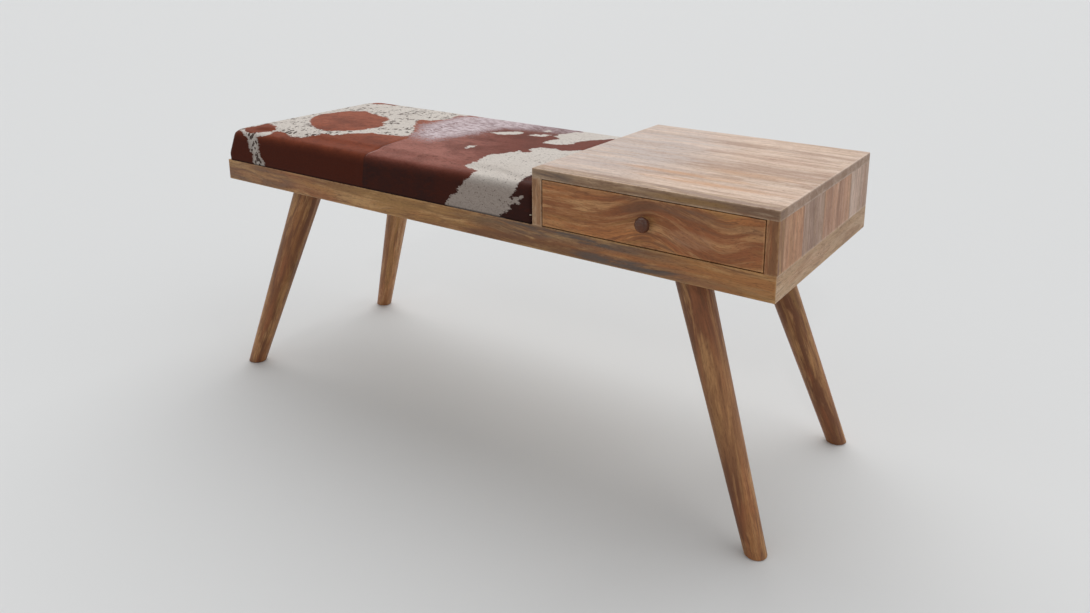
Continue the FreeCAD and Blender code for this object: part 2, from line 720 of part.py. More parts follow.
def main():
    nodes = {name: as_solids(shape) for name, shape in make_nodes().items()}
    everything = Part.makeCompound([solid for solids in nodes.values() for solid in solids])
    box = everything.optimalBoundingBox()
    # The origin is the middle of the whole bench on the floor, with the knob counted in its depth.
    shift = FreeCAD.Vector(-(box.XMin + box.XMax) / 2, -(box.YMin + box.YMax) / 2, 0)
    os.makedirs("parts", exist_ok=True)
    for name, solids in nodes.items():
        moved = [solid.translated(shift) for solid in solids]
        shape = moved[0] if len(moved) == 1 else Part.makeCompound(moved)
        shape.exportStep(f"parts/{name}.step")
        volume = sum(solid.Volume for solid in moved)
        print(f"{name}: {len(moved)} solid, {volume:.0f} mm3, valid {all(s.isValid() for s in moved)}")
    print(f"size {box.XLength:.2f} x {box.YLength:.2f} x {box.ZLength:.2f} mm")
    print(f"moved by {shift.x:.3f}, {shift.y:.3f}")


main()
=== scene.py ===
import math

import bmesh
import bpy
import numpy as np
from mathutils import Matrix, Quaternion, Vector, noise
from mathutils.bvhtree import BVHTree


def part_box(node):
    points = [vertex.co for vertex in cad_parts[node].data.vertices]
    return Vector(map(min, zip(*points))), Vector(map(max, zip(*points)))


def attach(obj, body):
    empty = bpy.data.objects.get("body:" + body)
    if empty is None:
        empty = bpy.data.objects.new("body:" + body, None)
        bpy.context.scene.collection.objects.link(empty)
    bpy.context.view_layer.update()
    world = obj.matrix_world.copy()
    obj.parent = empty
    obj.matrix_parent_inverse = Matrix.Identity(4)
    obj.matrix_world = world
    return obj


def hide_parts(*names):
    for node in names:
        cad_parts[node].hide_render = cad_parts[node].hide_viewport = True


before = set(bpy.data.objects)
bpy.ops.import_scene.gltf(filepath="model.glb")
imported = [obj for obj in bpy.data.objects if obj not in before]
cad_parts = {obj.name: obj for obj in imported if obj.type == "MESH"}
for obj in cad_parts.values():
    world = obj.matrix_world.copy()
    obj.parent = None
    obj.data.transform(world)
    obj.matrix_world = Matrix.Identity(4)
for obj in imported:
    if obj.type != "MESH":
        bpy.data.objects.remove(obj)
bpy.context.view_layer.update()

MM = 0.001

# The picture that the camera is matched to, in its own pixels.
PICTURE_WIDTH = 1090
PICTURE_HEIGHT = 613
FOCAL_PIXELS = 899.7
LENS_CENTRE_X = 588.1
LENS_CENTRE_Y = 170.0
SENSOR_WIDTH = 36.0
CAMERA_PLACE = Vector((0.970, -1.261, 0.871))
CAMERA_HEADING = math.radians(32.9)
CAMERA_TILT = math.radians(14.5)
CAMERA_ROLL = math.radians(0.38)

BACKDROP = (0.716, 0.730, 0.737, 1.0)

# Colours are linear light.
AMBER = (0.50, 0.195, 0.062)
UMBER = (0.200, 0.085, 0.038)
SAND = (0.62, 0.40, 0.24)
SLATE = (0.135, 0.100, 0.082)
OLIVE = (0.42, 0.240, 0.074)
RUSSET = (0.43, 0.145, 0.055)
MUD = (0.22, 0.120, 0.070)
KNOT = (0.50, 0.245, 0.120)
PALE_WOOD_AND_SHEEN = (0.50, 0.435, 0.41)
TAN = (0.54, 0.265, 0.105)
PORE = (0.11, 0.050, 0.026)
RAW = (0.62, 0.44, 0.27)
RAW_DEEP = (0.46, 0.29, 0.16)
RAW_PALE = (0.70, 0.54, 0.36)
BIRCH = (0.70, 0.55, 0.37)
BIRCH_DEEP = (0.55, 0.39, 0.23)
COCOA = (0.155, 0.043, 0.015)
COCOA_DEEP = (0.075, 0.022, 0.010)
COCOA_PALE = (0.23, 0.080, 0.034)
CHESTNUT = (0.225, 0.055, 0.026)
CHESTNUT_DEEP = (0.085, 0.020, 0.011)
CHESTNUT_PALE = (0.315, 0.094, 0.052)
PLUM = (0.175, 0.048, 0.032)
PLUM_PALE = (0.36, 0.145, 0.115)
PLUM_SHEEN_GREY = (0.16, 0.085, 0.085)
PLUM_DEEP = (0.045, 0.017, 0.014)
CREAM = (0.66, 0.61, 0.56)
CREAM_SHADE = (0.445, 0.375, 0.33)
CREAM_DUSK = (0.50, 0.43, 0.38)
FLECK = (0.060, 0.034, 0.026)
SHEEN_WHITE = (0.68, 0.58, 0.61)
ROSE_GREY = (0.42, 0.25, 0.21)
SEAM_HIGHLIGHT = (0.62, 0.42, 0.38)
HAIR_SHADOW = (0.02, 0.012, 0.010)
FOOT_SHADOW = (0.012, 0.007, 0.006)
FOAM = (0.80, 0.74, 0.56)
FOAM_DEEP = (0.62, 0.55, 0.40)
ZINC = (0.62, 0.63, 0.65)
ZINC_DULL = (0.44, 0.44, 0.46)


class Wire:
    """An output of a shader node that takes part in sums as a number does."""

    def __init__(self, finish, socket):
        self.finish = finish
        self.socket = socket

    def _sum(self, operation, *values):
        return self.finish.node("Math", {"operation": operation}, dict(enumerate(values)))

    def __add__(self, other):
        return self._sum("ADD", self, other)

    __radd__ = __add__

    def __sub__(self, other):
        return self._sum("SUBTRACT", self, other)

    def __rsub__(self, other):
        return self._sum("SUBTRACT", other, self)

    def __mul__(self, other):
        return self._sum("MULTIPLY", self, other)

    __rmul__ = __mul__

    def __abs__(self):
        return self._sum("ABSOLUTE", self)

    def lower_of(self, other):
        return self._sum("MINIMUM", self, other)

    def higher_of(self, other):
        return self._sum("MAXIMUM", self, other)

    def sine(self):
        return self._sum("SINE", self)

    def step(self, start, end):
        """0 at start, 1 at end, with a soft run between them."""
        limits = {"From Min": start, "From Max": end}
        if start > end:
            limits = {"From Min": end, "From Max": start, "To Min": 1.0, "To Max": 0.0}
        return self.finish.node("MapRange", {"interpolation_type": "SMOOTHSTEP"}, {"Value": self, **limits},
                                "Result")


class Finish:
    """A material, or the world, while its nodes are being made."""

    def __init__(self, name, kind="materials"):
        self.block = getattr(bpy.data, kind).new(name)
        self.block.use_nodes = True
        self.tree = self.block.node_tree
        self.tree.nodes.clear()

    def node(self, kind, settings=None, inputs=None, output=0):
        made = self.tree.nodes.new("ShaderNode" + kind)
        for name, value in (settings or {}).items():
            setattr(made, name, value)
        for name, value in (inputs or {}).items():
            if isinstance(value, Wire):
                self.tree.links.new(value.socket, made.inputs[name])
            else:
                made.inputs[name].default_value = value
        return None if output is None else Wire(self, made.outputs[output])

    def split(self, vector):
        parts = self.node("SeparateXYZ", None, {"Vector": vector})
        return [Wire(self, socket) for socket in parts.socket.node.outputs]

    def join(self, x, y, z):
        return self.node("CombineXYZ", None, {"X": x, "Y": y, "Z": z})

    def place(self):
        return self.node("TexCoord", None, None, "Object")

    def facing(self):
        return self.node("TexCoord", None, None, "Normal")

    def attribute(self, name):
        return self.node("Attribute", {"attribute_name": name}, None, "Fac")

    def moved(self, vector, shift, turn=(0.0, 0.0, 0.0)):
        return self.node("Mapping", None, {"Vector": vector, "Location": shift, "Rotation": turn})

    def scaled(self, vector, factors):
        return self.node("VectorMath", {"operation": "MULTIPLY"}, {0: vector, 1: factors})

    def shifted(self, vector, by):
        return self.node("VectorMath", {"operation": "ADD"}, {0: vector, 1: by})

    def length(self, vector):
        return self.node("VectorMath", {"operation": "LENGTH"}, {0: vector}, "Value")

    def noise(self, vector, detail=2.0, rough=0.5, output="Fac"):
        values = {"Vector": vector, "Scale": 1.0, "Detail": detail, "Roughness": rough}
        return self.node("TexNoise", None, values, output)

    def cells(self, vector):
        return self.node("TexVoronoi", None, {"Vector": vector, "Scale": 1.0}, "Distance")

    def mix(self, factor, first, second, blend="MIX"):
        first, second = [c if isinstance(c, Wire) else tuple(c[:3]) + (1.0,) for c in (first, second)]
        made = self.tree.nodes.new("ShaderNodeMix")
        made.data_type = "RGBA"
        made.blend_type = blend
        made.clamp_factor = True
        for index, value in ((0, factor), (6, first), (7, second)):
            if isinstance(value, Wire):
                self.tree.links.new(value.socket, made.inputs[index])
            else:
                made.inputs[index].default_value = value
        return Wire(self, made.outputs[2])

    def seen(self):
        """1 for what is seen or mirrored, 0 for what lights the room."""
        kinds = ("Camera", "Glossy", "Transmission")
        rays = [self.node("LightPath", None, None, f"Is {kind} Ray") for kind in kinds]
        return rays[0].higher_of(rays[1]).higher_of(rays[2])

    def bump(self, height, distance, strength=1.0):
        values = {"Height": height, "Distance": distance, "Strength": strength}
        return self.node("Bump", None, values, "Normal")

    def surface(self, inputs):
        """Ends the material with one Principled surface."""
        shader = self.node("BsdfPrincipled", None, inputs, "BSDF")
        self.node("OutputMaterial", None, {"Surface": shader}, None)
        return self.block


# Wood

TO_LENGTH = {
    "X": (0.0, 0.0, 0.0),
    "Y": (0.0, 0.0, -math.pi / 2),
    "Z": (0.0, math.pi / 2, 0.0),
}
ALONG = {"X": Vector((1, 0, 0)), "Y": Vector((0, 1, 0)), "Z": Vector((0, 0, 1))}

# The noises that wood is made of: how often each changes along and across the grain, then its
# detail and its roughness.
WOOD_LAYERS = {
    "band": ((1.7, 21.0, 21.0), 2.0, 0.55),
    "blotch": ((8.0, 46.0, 46.0), 4.0, 0.66),
    "hue": ((4.0, 34.0, 34.0), 3.0, 0.6),
    "streak": ((6.0, 100.0, 100.0), 4.0, 0.68),
    "fibre": ((15.0, 430.0, 430.0), 2.0, 0.6),
    "contour": ((2.0, 13.0, 13.0), 1.0, 0.4),
    "vein": ((2.6, 50.0, 50.0), 2.0, 0.5),
    "marks": ((17.0, 170.0, 170.0), 3.0, 0.6),
    "pores": ((120.0, 1500.0, 1500.0), 1.0, 0.4),
}
GROWTH_RINGS = 11.0
JOINT_LINE = 0.0007
EDGE_WEAR_LIGHT_REACH = 0.0034


def edge_wear_and_highlight(paint, place, box, reach):
    """1 along the box's edges, 0 further than reach from them."""
    low, high = box
    centre = (low + high) / 2
    half = (high - low) / 2
    offset = paint.shifted(place, tuple(-centre))
    gaps = [half[i] - abs(part) for i, part in enumerate(paint.split(offset))]
    low_two = gaps[0].lower_of(gaps[1])
    high_two = gaps[0].higher_of(gaps[1])
    second = low_two.higher_of(high_two.lower_of(gaps[2]))
    return second.step(reach, 0.0)


def spot(paint, place, centre, radii, wobble):
    """1 in the middle of an egg-shaped spot, 0 outside it."""
    apart = paint.shifted(place, tuple(-c for c in centre))
    ratio = paint.length(paint.scaled(apart, tuple(1 / r for r in radii)))
    return (ratio + wobble).step(1.25, 0.55)


def wood(name, grain, seed, tones, box=None, spots=(), joints=(), shine=0.42, turn=None, lively=1.0, bows=()):
    """Oiled, open-grained hardwood. tones are its body, deep and pale colours, bows its grain's arches."""
    body, deep, pale = tones
    paint = Finish(name)
    place = paint.place()
    rng = np.random.default_rng(seed)
    shift = tuple(float(v) for v in rng.uniform(-3, 3, 3))
    q = paint.moved(place, shift, TO_LENGTH[grain] if turn is None else tuple(turn))

    drift = paint.noise(paint.scaled(q, (3.2, 8.0, 8.0)), 2.0, 0.5, "Color")
    bent = paint.shifted(q, paint.scaled(drift, (0.0, 0.045, 0.045)))
    for middle, reach, rise in bows:
        arch = abs(paint.split(place)[0] - middle).step(reach, 0.0) * rise
        bent = paint.shifted(bent, paint.join(0.0, 0.0, arch))
    layers = {name: paint.noise(paint.scaled(bent, often), detail, rough)
              for name, (often, detail, rough) in WOOD_LAYERS.items()}
    band, blotch, hue, streak, fibre, contour, vein, marks, pores = layers.values()
    marks = marks.step(0.56, 0.66)
    pores = pores.step(0.58, 0.68)
    ripple = paint.noise(paint.scaled(q, (60.0, 13.0, 13.0)), 2.0, 0.5)

    shade = paint.mix(0.55, deep, UMBER)
    busy = 0.40 + 0.60 * lively
    colour = paint.mix(band.step(0.42, 0.57), deep, body)
    colour = paint.mix(hue.step(0.53, 0.62) * 0.50 * lively, colour, OLIVE)
    colour = paint.mix(hue.step(0.47, 0.38) * 0.55 * lively, colour, RUSSET)
    colour = paint.mix(blotch.step(0.50, 0.63) * 0.80 * busy, colour, pale)
    rings = (contour * (2 * math.pi * GROWTH_RINGS)).sine().step(0.1, 1.0)
    colour = paint.mix(rings * band.step(0.60, 0.42) * 0.45, colour, deep)
    colour = paint.mix(streak.step(0.51, 0.63) * 0.80 * busy, colour, shade)
    colour = paint.mix(streak.step(0.47, 0.37) * 0.45 * busy, colour, pale)
    line = abs(vein - 0.52).step(0.020, 0.002) * blotch.step(0.44, 0.58)
    colour = paint.mix(line * 0.60 * lively, colour, UMBER)
    colour = paint.mix(marks * blotch.step(0.60, 0.44) * 0.60 * busy, colour, shade)
    colour = paint.mix((ripple - 0.5).step(-0.15, 0.15) * 0.14, colour, deep)
    colour = paint.mix(fibre.step(0.42, 0.70) * 0.34, colour, shade)
    for centre, radii, tint, strength in spots:
        ragged = min(1.0, radii["XYZ".index(grain)] / 0.03)
        mask = spot(paint, place, centre, radii, ((streak - 0.5) * 2.2 + (blotch - 0.5) * 1.4) * ragged)
        colour = paint.mix(mask * (streak.step(0.40, 0.56) * 0.70 * ragged + 1 - 0.70 * ragged) * strength,
                           colour, tint)
    for axis, value in joints:
        gap = abs(paint.split(place)["XYZ".index(axis)] - value)
        colour = paint.mix(gap.step(JOINT_LINE, 0.0002) * 0.55, colour, UMBER)

    if turn is None:
        ends = abs(paint.node("VectorMath", {"operation": "DOT_PRODUCT"},
                              {0: paint.facing(), 1: tuple(ALONG[grain])}, "Value")).step(0.75, 0.95)
        colour = paint.mix(ends * 0.45, colour, paint.mix(0.5, deep, UMBER))
    colour = paint.mix(pores * 0.42, colour, PORE)
    rough = shine + fibre * 0.12 + pores * 0.22 + (blotch - 0.5) * 0.16
    if box is not None:
        # The box's edges turn paler: partly wear, partly a painted highlight on the eased edges.
        edge_breakup = paint.noise(paint.scaled(place, (160.0, 160.0, 160.0)), 2.0, 0.6)
        wear_and_highlight = edge_wear_and_highlight(paint, place, box, EDGE_WEAR_LIGHT_REACH) * edge_breakup.step(0.28, 0.60)
        colour = paint.mix(wear_and_highlight * 0.45, colour, pale)
        rough = rough - wear_and_highlight * 0.08
    height = fibre * 0.35 - pores * 0.9 + streak * 0.3
    normal = paint.bump(height, 0.00022, 0.55)
    return paint.surface({"Base Color": colour, "Roughness": rough, "Normal": normal,
                          "Coat Weight": 0.08, "Coat Roughness": 0.35, "Specular IOR Level": 0.34})


def dress(node, material):
    """Gives a CAD node its finish."""
    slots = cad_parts[node].data.materials
    slots.clear()
    slots.append(material)


def span(*nodes):
    """The box round several nodes."""
    corners = [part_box(node) for node in nodes]
    low = Vector([min(c[0][i] for c in corners) for i in range(3)])
    high = Vector([max(c[1][i] for c in corners) for i in range(3)])
    return low, high


RAIL_TONES = ((0.53, 0.250, 0.084), (0.26, 0.105, 0.038), (0.68, 0.40, 0.170))
LEG_TONES = ((0.45, 0.195, 0.068), (0.20, 0.072, 0.028), (0.62, 0.33, 0.135))
LIT_LEG_TONES = ((0.70, 0.340, 0.140), (0.42, 0.180, 0.070), (0.80, 0.48, 0.240))
TOP_TONES = ((0.62, 0.440, 0.320), (0.38, 0.230, 0.145), (0.80, 0.655, 0.550))
EDGE_TONES = ((0.54, 0.360, 0.220), (0.26, 0.155, 0.095), (0.70, 0.51, 0.350))
WARM_TONES = ((0.64, 0.315, 0.160), (0.42, 0.180, 0.085), (0.82, 0.52, 0.320))
SIDE_TONES = ((0.67, 0.365, 0.220), (0.44, 0.212, 0.118), (0.84, 0.58, 0.430))
DRAWER_TONES = ((0.63, 0.250, 0.080), (0.33, 0.112, 0.036), (0.76, 0.420, 0.185))
GREYED_TONES = ((0.50, 0.320, 0.230), (0.33, 0.190, 0.132), (0.66, 0.47, 0.365))
PALE_TONES = ((0.76, 0.55, 0.435), (0.52, 0.335, 0.240), (0.88, 0.72, 0.610))
RIGHT_RAIL_TONES = ((0.61, 0.390, 0.215), (0.45, 0.255, 0.130), (0.76, 0.56, 0.370))
RIGHT_STILE_TONES = ((0.49, 0.230, 0.090), (0.29, 0.125, 0.050), (0.62, 0.36, 0.170))
LEFT_STILE_TONES = ((0.49, 0.280, 0.140), (0.31, 0.155, 0.070), (0.72, 0.52, 0.340))
KNOB_TONES = (COCOA, COCOA_DEEP, COCOA_PALE)
BEECH_TONES = (BIRCH, BIRCH_DEEP, BIRCH)
INNER_TONES = (RAW, RAW_DEEP, RAW_PALE)

CORNERS = ("front_left", "front_right", "back_left", "back_right")


def dress_rails():
    ring = span("front_rail", "back_rail", "left_end_rail", "right_end_rail")
    face = ring[0].y
    front_spots = [
        ((-0.52, face, 0.416), (0.16, 0.05, 0.024), MUD, 0.90),
        ((0.22, face, 0.430), (0.20, 0.05, 0.013), SLATE, 1.00),
        ((0.36, face, 0.408), (0.15, 0.05, 0.010), SLATE, 0.95),
        ((0.12, face, 0.406), (0.14, 0.05, 0.009), UMBER, 0.80),
        ((0.30, face, 0.421), (0.12, 0.05, 0.006), AMBER, 0.60),
        ((0.50, face, 0.420), (0.10, 0.05, 0.020), AMBER, 0.55),
        ((-0.10, face, 0.430), (0.26, 0.05, 0.012), OLIVE, 0.45),
    ]
    dress("front_rail", wood("mango_front_rail", "X", 11, RAIL_TONES, ring, front_spots))
    dress("back_rail", wood("mango_back_rail", "X", 12, RAIL_TONES, ring))
    dress("left_end_rail", wood("mango_left_rail", "Y", 13, RAIL_TONES, ring))
    dress("right_end_rail", wood("mango_right_rail", "Y", 14, RIGHT_RAIL_TONES, ring, lively=0.6))


def leg_turn(node):
    """The turn that lays a leg along X, as a Mapping node takes it."""
    points = np.array([v.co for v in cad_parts[node].data.vertices])
    foot = Vector(points[points[:, 2] < 0.002].mean(axis=0))
    top = Vector(points[points[:, 2] > points[:, 2].max() - 0.002].mean(axis=0))
    return (top - foot).rotation_difference(Vector((1, 0, 0))).to_euler("XYZ")


def dress_legs():
    for seed, corner in enumerate(CORNERS, start=21):
        node = f"leg_{corner}"
        low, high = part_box(node)
        spots = [((low + high) / 2, (0.07, 0.07, 0.11), TAN, 0.55)] if corner == "front_right" else ()
        # Painted light: the back left leg takes paler tones, as though lit from behind.
        tones = LIT_LEG_TONES if corner == "back_left" else LEG_TONES
        dress(node, wood(f"mango_{node}", "Z", seed, tones, None, spots, shine=0.40, turn=leg_turn(node)))


def dress_box():
    top = span("top_front_edge", *[f"top_plank_{i}" for i in range(1, 6)])
    side = span("right_stile", *[f"side_stave_{i}" for i in range(1, 5)])
    side = (side[0], Vector((side[1].x, side[1].y, side[1].z + 0.05)))
    left, back, level = top[0].x, top[1].y, top[1].z
    # The first spot paints the top paler at its left and back: partly paler wood, partly a painted sheen of the
    # light from behind.
    spots = [((left + 0.06, back - 0.20, level), (0.15, 0.26, 0.03), PALE_WOOD_AND_SHEEN, 0.70),
             ((left + 0.25, back - 0.335, level), (0.12, 0.012, 0.03), TAN, 0.65),
             ((left + 0.20, back - 0.300, level), (0.14, 0.010, 0.03), TAN, 0.65),
             ((left + 0.31, back - 0.250, level), (0.09, 0.014, 0.03), TAN, 0.55),
             ((left + 0.10, back - 0.370, level), (0.07, 0.012, 0.03), MUD, 0.45)]
    for seed, number in enumerate(range(1, 6), start=32):
        node = f"top_plank_{number}"
        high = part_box(node)[1]
        dress(node, wood(f"mango_{node}", "X", seed, TOP_TONES, top, spots, [("Y", high.y)], lively=0.3))
    edge_spots = [((left + 0.03, top[0].y, level - 0.010), (0.05, 0.012, 0.012), SLATE, 0.80),
                  ((left + 0.16, top[0].y, level - 0.014), (0.10, 0.012, 0.006), MUD, 0.55),
                  ((left + 0.27, top[0].y, level - 0.008), (0.07, 0.012, 0.005), OLIVE, 0.50)]
    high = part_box("top_front_edge")[1]
    dress("top_front_edge", wood("mango_top_front_edge", "X", 31, EDGE_TONES, top, edge_spots,
                                 [("Y", high.y)], lively=0.6))
    knot = [((side[1].x, side[0].y + 0.071, 0.457), (0.03, 0.020, 0.020), KNOT, 0.60),
            ((side[1].x, side[0].y + 0.048, 0.449), (0.03, 0.010, 0.014), KNOT, 0.55)]
    tones = [WARM_TONES, GREYED_TONES, SIDE_TONES, PALE_TONES]
    for number, stave_tones in enumerate(tones, start=1):
        node = f"side_stave_{number}"
        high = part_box(node)[1]
        spots = knot if number == 1 else ()
        dress(node, wood(f"mango_{node}", "Z", 40 + number, stave_tones, side, spots,
                         [("Y", high.y)], lively=0.5))
    dress("right_stile", wood("mango_right_stile", "Z", 46, RIGHT_STILE_TONES, side))
    dress("left_stile", wood("mango_left_stile", "Z", 47, LEFT_STILE_TONES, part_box("left_stile"), lively=0.5))
    dress("partition_panel", wood("mango_partition", "Z", 48, SIDE_TONES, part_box("partition_panel")))
    dress("box_back", wood("mango_box_back", "X", 49, SIDE_TONES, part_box("box_back")))


def dress_drawer():
    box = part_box("drawer_front")
    front = box[0].y
    knob_low, knob_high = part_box("drawer_knob")
    knob = (knob_low + knob_high) / 2
    spots = [
        ((knob.x + 0.006, front, knob.z + 0.034), (0.045, 0.03, 0.012), UMBER, 0.90),
        ((knob.x - 0.016, front, knob.z + 0.018), (0.030, 0.03, 0.010), UMBER, 0.80),
        ((knob.x + 0.070, front, knob.z + 0.026), (0.055, 0.03, 0.008), MUD, 0.75),
        ((knob.x - 0.090, front, knob.z + 0.033), (0.080, 0.03, 0.007), UMBER, 0.65),
        ((knob.x + 0.130, front, knob.z + 0.018), (0.060, 0.03, 0.006), MUD, 0.60),
        ((knob.x - 0.004, front, knob.z - 0.039), (0.007, 0.02, 0.004), PORE, 0.95),
        ((knob.x + 0.120, front, knob.z - 0.008), (0.075, 0.03, 0.024), RUSSET, 0.55),
        ((knob.x + 0.075, front, knob.z - 0.012), (0.040, 0.03, 0.012), SAND, 0.40),
        ((knob.x - 0.110, front, knob.z - 0.015), (0.070, 0.03, 0.022), AMBER, 0.45),
    ]
    bows = [(knob.x + 0.01, 0.085, -0.022), (knob.x + 0.12, 0.050, 0.009)]
    dress("drawer_front", wood("mango_drawer_front", "X", 51, DRAWER_TONES, box, spots, bows=bows))
    dress("drawer_knob", wood("stained_knob", "X", 61, KNOB_TONES, shine=0.12, lively=0.0))


def dress_inner():
    blocks = [f"leg_block_{corner}" for corner in CORNERS]
    lengthwise = {"X": ["drawer_back", "drawer_out_stop", "drawer_back_stops"],
                  "Y": ["partition_bearer", "seat_batten_left", "seat_batten_middle", "seat_batten_right",
                        "drawer_runner_left", "drawer_runner_right", "drawer_side_left", "drawer_side_right",
                        "corner_braces"] + blocks}
    seed = 70
    for grain, nodes in lengthwise.items():
        for node in nodes:
            seed += 1
            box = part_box(node)
            dress(node, wood(f"planed_{node}", grain, seed, INNER_TONES, box, shine=0.56, lively=0.3))
    for node in ("top_dowels", "drawer_dowels"):
        seed += 1
        dress(node, wood(f"beech_{node}", "Z", seed, BEECH_TONES, shine=0.55, lively=0.0))


def plywood(name, seed):
    """Sanded plywood, with its plies on the edges."""
    paint = Finish(name)
    place = paint.place()
    shift = (seed * 1.7, seed * 0.9, 0.0)
    q = paint.moved(place, shift)
    drift = paint.noise(paint.scaled(q, (1.6, 5.0, 0.0)), 2.0, 0.5)
    wave = paint.noise(paint.scaled(q, (1.2, 13.0, 0.0)), 2.0, 0.5) * 26.0 + drift * 8.0
    figure = wave.sine() * 0.5 + 0.5
    fibre = paint.noise(paint.scaled(q, (16.0, 380.0, 380.0)), 2.0, 0.6)
    colour = paint.mix(figure * 0.35 + fibre * 0.45, BIRCH_DEEP, BIRCH)
    height = paint.split(place)[2]
    plies = (height * (2 * math.pi / 0.0031)).sine().step(-0.25, 0.25)
    upright = abs(paint.split(paint.facing())[2]).step(0.5, 0.3)
    colour = paint.mix(upright * plies * 0.6, colour, RAW_DEEP)
    normal = paint.bump(fibre, 0.0002, 0.5)
    return paint.surface({"Base Color": colour, "Roughness": fibre * 0.12 + 0.56, "Normal": normal})


def steel():
    """Zinc plate with fine scratches and dull patches."""
    paint = Finish("zinc_plate")
    place = paint.place()
    grain = paint.noise(paint.scaled(place, (900.0, 900.0, 900.0)), 2.0, 0.6)
    dull = paint.noise(paint.scaled(place, (120.0, 120.0, 120.0)), 2.0, 0.5)
    colour = paint.mix(dull * 0.6, ZINC, ZINC_DULL)
    return paint.surface({"Base Color": colour, "Metallic": 1.0, "Roughness": grain * 0.2 + 0.26,
                          "Normal": paint.bump(grain, 0.00005, 0.5)})


def foam():
    """Open-celled foam."""
    paint = Finish("open_foam")
    cells = paint.cells(paint.scaled(paint.place(), (900.0, 900.0, 900.0)))
    colour = paint.mix(cells.step(0.1, 0.6), FOAM_DEEP, FOAM)
    return paint.surface({"Base Color": colour, "Roughness": 0.9, "Normal": paint.bump(cells, 0.0006, 0.8)})


# Seat pad
# The hide is drawn flat, in millimetres: u from the pad's left end, v from its front top edge
# towards the back, and negative down the front.

PAD_LOW, PAD_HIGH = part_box("seat_hide")
PAD_MIDDLE = (PAD_LOW + PAD_HIGH) / 2
PAD_DEPTH = 400.0
PAD_EDGE_TOP = 0.500
PAD_SHRINK = 0.003
PAD_VOXEL = 0.006
PAD_CAP = 0.009
PAD_CLOTH = {
    "quality": 6,
    "mass": 0.4,
    "tension_stiffness": 25,
    "compression_stiffness": 25,
    "shear_stiffness": 10,
    "bending_stiffness": 4,
    "use_pressure": True,
    "uniform_pressure_force": 4.0,
}
PAD_FRAMES = 20
PAD_OUT = 0.0035
PAD_IN = 0.0004
PAD_SPARE = 0.010
PAD_FOOT_SLOPE = 0.12
PAD_SOFT_ROUNDS = 24
PAD_WAVE = 0.0009
SEAM_FRONT_U = 380.0
SEAM_DRIFT = 45.0
SEAM_DEPTH = 0.0022
SEAM_HALF = 2.6

CREAM_LEFT = [
    (-60, 30), (12, 22), (33, 13), (62, -3), (86, 3), (104, 9), (113, 12), (112, 20), (104, 30),
    (108, 40), (120, 42), (142, 35), (166, 26), (187, 30), (198, 39), (212, 48), (212, 59),
    (228, 61), (243, 64), (250, 71), (253, 82), (275, 95), (294, 109), (315, 111), (338, 114),
    (356, 119), (368, 125), (370, 133), (358, 153), (349, 171), (319, 195), (306, 219), (289, 234),
    (288, 255), (309, 256), (316, 268), (323, 284), (325, 296), (307, 340), (300, 400), (300, 470),
    (-60, 470)
]
FRONT_CORNER_BROWN = [
    (20, 28), (33, 23), (47, 13), (64, 11), (79, 17), (88, 26), (94, 34), (98, 45), (81, 58),
    (67, 61), (44, 73), (30, 62)
]
BROWN_OVAL = [
    (97, 131), (83, 147), (69, 171), (58, 197), (72, 205), (74, 221), (87, 240), (113, 250),
    (126, 254), (156, 243), (193, 232), (215, 229), (237, 212), (244, 189), (264, 172), (271, 151),
    (263, 136), (262, 117), (247, 104), (230, 89), (214, 82), (202, 78), (181, 80), (156, 88),
    (129, 104)
]
BACK_SPOT = [
    (33, 353), (27, 372), (12, 417), (84, 410), (95, 364), (77, 345), (56, 341)
]
LEFT_END_BROWN = [
    (-80, 130), (6, 134), (14, 170), (13, 240), (8, 300), (-30, 330), (-80, 330)
]
VEINED = [
    (33, 14), (60, -6), (70, -33), (80, -40), (77, -70), (126, -70), (104, -42), (94, -25),
    (96, -12), (86, 4), (66, 9)
]
CREAM_RIGHT = [
    (572, -75), (572, -56), (582, -45), (595, -33), (600, -20), (609, -10), (620, 5), (621, 19),
    (622, 28), (614, 30), (597, 33), (585, 36), (589, 47), (596, 60), (591, 73), (589, 89),
    (586, 98), (600, 113), (607, 121), (606, 128), (614, 137), (616, 147), (627, 141), (641, 151),
    (627, 158), (624, 175), (634, 188), (659, 195), (676, 188), (690, 199), (700, 215), (740, 250),
    (800, 262), (800, 43), (719, 43), (716, 30), (715, 19), (717, 10), (715, -5), (711, -12),
    (703, -19), (711, -25), (717, -21), (730, -16), (727, -21), (724, -30), (717, -29), (705, -36),
    (712, -40), (706, -44), (696, -49), (690, -58), (690, -75)
]
STREAKS = [
    [
        (481, 233), (485, 244), (499, 256), (512, 271), (527, 276), (534, 273), (535, 255),
        (526, 243), (512, 233), (499, 232)
    ],
    [
        (553, 257), (557, 275), (568, 275), (574, 286), (585, 283), (587, 265), (569, 258)
    ],
    [
        (614, 219), (612, 246), (620, 266), (601, 277), (593, 301), (600, 316), (601, 362),
        (590, 400), (616, 393), (640, 430), (800, 470), (800, 360), (700, 340), (676, 298),
        (660, 269), (663, 244), (649, 228), (629, 221)
    ],
    [
        (550, 309), (553, 329), (566, 317), (562, 305)
    ],
    [
        (522, 112), (519, 129), (528, 138), (530, 124), (528, 111)
    ],
]
# The outline of the painted sheen on the hide's top.
SHEEN_OUTLINE = [
    (322, 215), (372, 128), (431, 120), (452, 157), (466, 198), (472, 242), (480, 280), (540, 292),
    (600, 300), (650, 345), (720, 395), (720, 430), (330, 430), (318, 330)
]


